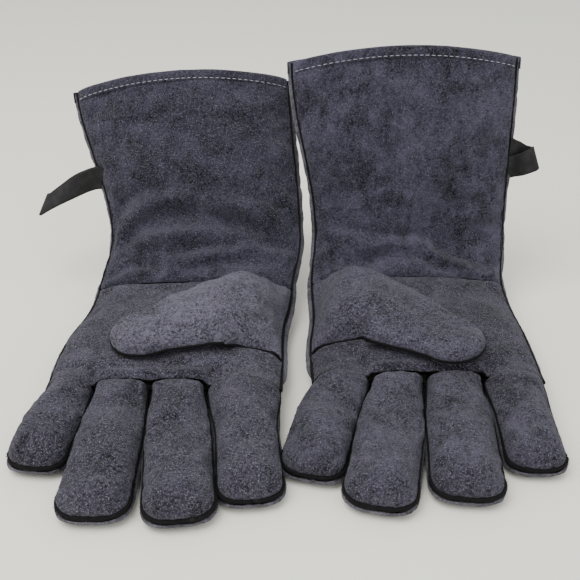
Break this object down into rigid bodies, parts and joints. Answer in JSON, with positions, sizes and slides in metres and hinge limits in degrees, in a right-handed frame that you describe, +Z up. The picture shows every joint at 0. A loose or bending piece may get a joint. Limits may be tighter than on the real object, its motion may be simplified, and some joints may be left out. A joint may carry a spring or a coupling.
{
  "type": "welding gloves",
  "caption": "Pair of long-cuff split-leather welding gloves, palms up, cuffs bent upright, with wing thumbs, black seam welts, turned stitched hems and side hanging loops.",
  "frame": {"origin": "middle of the pair's outline on the surface that the gloves lie on", "axes": "+X across both gloves, from the left-hand glove to the right-hand glove; +Y from the fingertips to the cuffs; +Z up, away from the surface"},
  "size_m": [0.3993, 0.3465, 0.1896],
  "materials": {
    "hand_leather": "napped split leather, matt, mottled",
    "cuff_leather": "napped split leather, matt, mottled, darker than the hand",
    "black_welt": "raw edge of black leather, fuzzy",
    "fleece_lining": "brushed cotton fleece",
    "grey_thread": "spun aramid thread",
    "black_strap": "thin black leather strap"
  },
  "bodies": {
    "left_hand": {"left_palm_panel": "hand_leather", "left_back_panel": "hand_leather", "left_thumb_wing": "hand_leather", "left_palm_lining": "fleece_lining", "left_back_lining": "fleece_lining", "left_hand_welts": "black_welt"},
    "left_cuff": {"left_cuff_front": "cuff_leather", "left_cuff_back": "cuff_leather", "left_cuff_welts": "black_welt", "left_cuff_hem": "cuff_leather", "left_hem_stitching": "grey_thread"},
    "left_thumb": {"left_thumb_front": "hand_leather", "left_thumb_back": "hand_leather", "left_thumb_welt": "black_welt"},
    "left_index": {"left_index_front": "hand_leather", "left_index_back": "hand_leather", "left_index_welt": "black_welt"},
    "left_middle": {"left_middle_front": "hand_leather", "left_middle_back": "hand_leather", "left_middle_welt": "black_welt"},
    "left_ring": {"left_ring_front": "hand_leather", "left_ring_back": "hand_leather", "left_ring_welt": "black_welt"},
    "left_little": {"left_little_front": "hand_leather", "left_little_back": "hand_leather", "left_little_welt": "black_welt"},
    "left_loop": {"left_hanging_loop": "black_strap"},
    "right_hand": {"right_palm_panel": "hand_leather", "right_back_panel": "hand_leather", "right_thumb_wing": "hand_leather", "right_palm_lining": "fleece_lining", "right_back_lining": "fleece_lining", "right_hand_welts": "black_welt"},
    "right_cuff": {"right_cuff_front": "cuff_leather", "right_cuff_back": "cuff_leather", "right_cuff_welts": "black_welt", "right_cuff_hem": "cuff_leather", "right_hem_stitching": "grey_thread"},
    "right_thumb": {"right_thumb_front": "hand_leather", "right_thumb_back": "hand_leather", "right_thumb_welt": "black_welt"},
    "right_index": {"right_index_front": "hand_leather", "right_index_back": "hand_leather", "right_index_welt": "black_welt"},
    "right_middle": {"right_middle_front": "hand_leather", "right_middle_back": "hand_leather", "right_middle_welt": "black_welt"},
    "right_ring": {"right_ring_front": "hand_leather", "right_ring_back": "hand_leather", "right_ring_welt": "black_welt"},
    "right_little": {"right_little_front": "hand_leather", "right_little_back": "hand_leather", "right_little_welt": "black_welt"},
    "right_loop": {"right_hanging_loop": "black_strap"}
  },
  "joints": [
    {"name": "left_wrist", "type": "hinge", "parent": "left_hand", "child": "left_cuff", "pos_m": [-0.0789, 0.05773, 0.00782], "axis": [1, 0, 0], "range_deg": [-45, 0]},
    {"name": "left_thumb_fold", "type": "hinge", "parent": "left_hand", "child": "left_thumb", "pos_m": [-0.03266, 0.0096, 0.052], "axis": [0, 1, 0], "range_deg": [0, 70]},
    {"name": "left_index_curl", "type": "hinge", "parent": "left_hand", "child": "left_index", "pos_m": [-0.028, -0.06534, 0.028], "axis": [-1, 0, 0], "range_deg": [0, 60]},
    {"name": "left_middle_curl", "type": "hinge", "parent": "left_hand", "child": "left_middle", "pos_m": [-0.07, -0.06534, 0.028], "axis": [-1, 0, 0], "range_deg": [0, 60]},
    {"name": "left_ring_curl", "type": "hinge", "parent": "left_hand", "child": "left_ring", "pos_m": [-0.1058, -0.06534, 0.028], "axis": [-1, 0, 0], "range_deg": [0, 60]},
    {"name": "left_little_curl", "type": "hinge", "parent": "left_hand", "child": "left_little", "pos_m": [-0.1401, -0.06534, 0.028], "axis": [-1, 0, 0], "range_deg": [0, 60]},
    {"name": "left_loop_turn", "type": "hinge", "parent": "left_cuff", "child": "left_loop", "pos_m": [-0.15027, 0.11781, 0.08797], "axis": [0, 0, 1], "range_deg": [-10, 10]},
    {"name": "right_wrist", "type": "hinge", "parent": "right_hand", "child": "right_cuff", "pos_m": [0.0929, 0.06573, 0.00782], "axis": [1, 0, 0], "range_deg": [-45, 0]},
    {"name": "right_thumb_fold", "type": "hinge", "parent": "right_hand", "child": "right_thumb", "pos_m": [0.05065, 0.0176, 0.052], "axis": [0, -1, 0], "range_deg": [0, 70]},
    {"name": "right_index_curl", "type": "hinge", "parent": "right_hand", "child": "right_index", "pos_m": [0.033, -0.05734, 0.028], "axis": [-1, 0, 0], "range_deg": [0, 60]},
    {"name": "right_middle_curl", "type": "hinge", "parent": "right_hand", "child": "right_middle", "pos_m": [0.0727, -0.05734, 0.028], "axis": [-1, 0, 0], "range_deg": [0, 60]},
    {"name": "right_ring_curl", "type": "hinge", "parent": "right_hand", "child": "right_ring", "pos_m": [0.1095, -0.05734, 0.028], "axis": [-1, 0, 0], "range_deg": [0, 60]},
    {"name": "right_little_curl", "type": "hinge", "parent": "right_hand", "child": "right_little", "pos_m": [0.1481, -0.05734, 0.028], "axis": [-1, 0, 0], "range_deg": [0, 60]},
    {"name": "right_loop_turn", "type": "hinge", "parent": "right_cuff", "child": "right_loop", "pos_m": [0.17456, 0.11215, 0.10648], "axis": [0, 0, 1], "range_deg": [-10, 10]},
    {"name": "right_glove_lift", "type": "slide", "parent": "left_hand", "child": "right_hand", "axis": [0, 0, 1], "range_m": [0, 0.25]}
  ]
}
